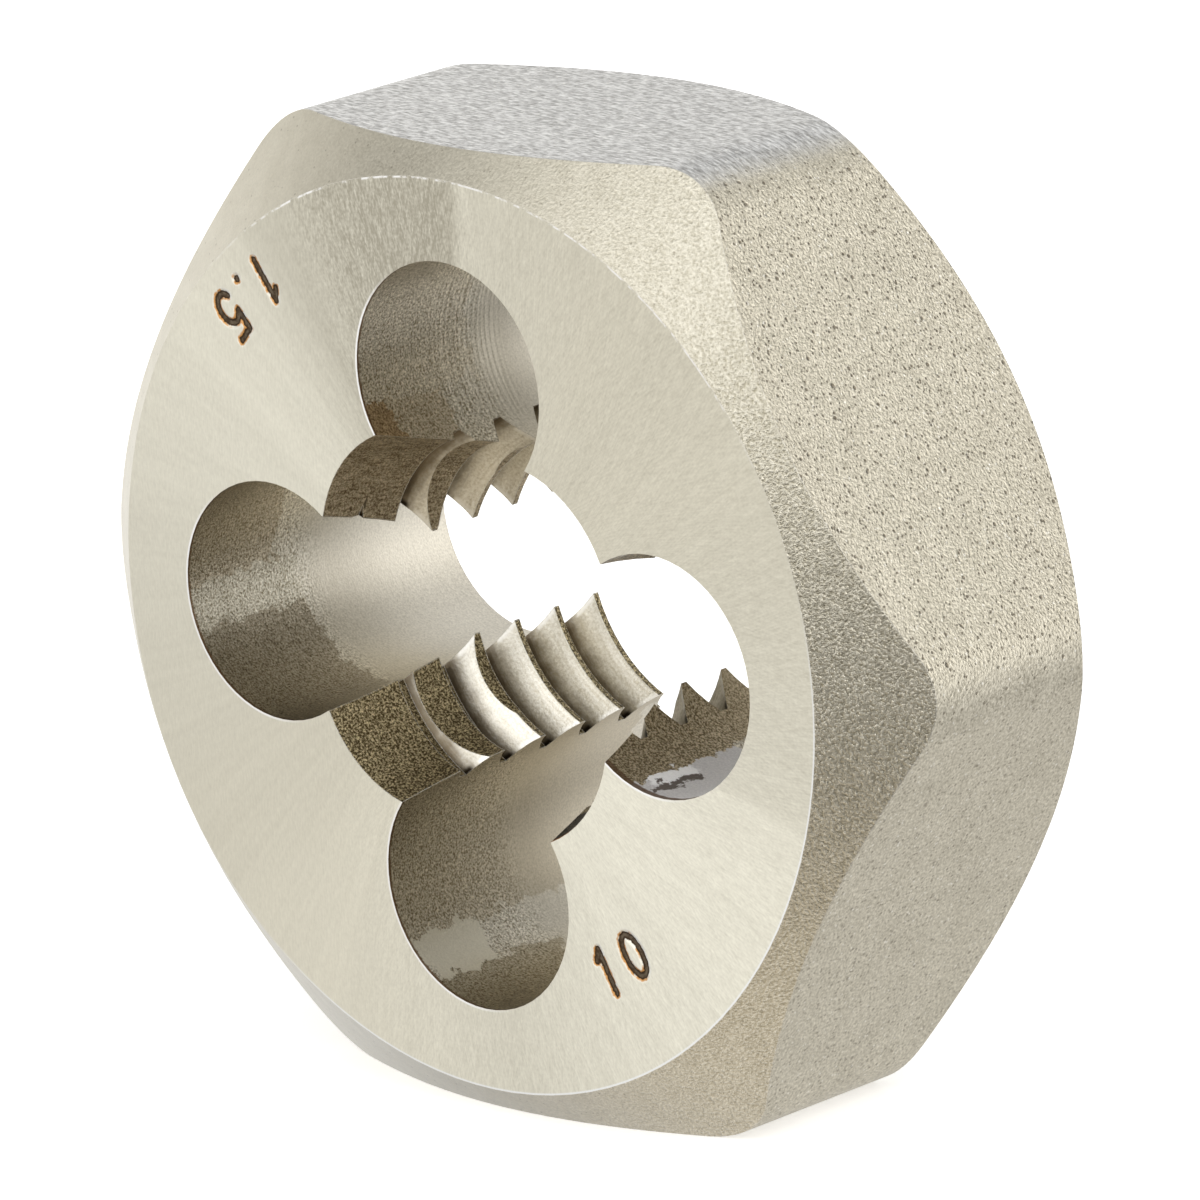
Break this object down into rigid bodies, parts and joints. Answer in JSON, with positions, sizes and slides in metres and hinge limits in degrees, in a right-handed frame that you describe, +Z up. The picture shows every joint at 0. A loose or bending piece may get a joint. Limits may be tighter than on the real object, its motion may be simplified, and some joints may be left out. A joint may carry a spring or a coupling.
{
  "type": "hex threading die",
  "caption": "Hexagonal threading die of tool steel: a rounded hexagon with coned corners, round chip holes and a lead-in, to recut the thread of a bolt with a wrench.",
  "frame": {"origin": "on the thread axis, midway between the two faces", "axes": "+Y along the thread axis, away from the lead-in face; +Z up, out of one flat of the hexagon; +X across two corners, to the right of someone facing the lead-in face"},
  "size_m": [0.0286, 0.0096, 0.0254],
  "materials": {
    "tool_steel": "ground faces with a fine grain, slightly tarnished to a warm grey"
  },
  "bodies": {
    "root": {"hex_die": "tool_steel"}
  },
  "joints": []
}
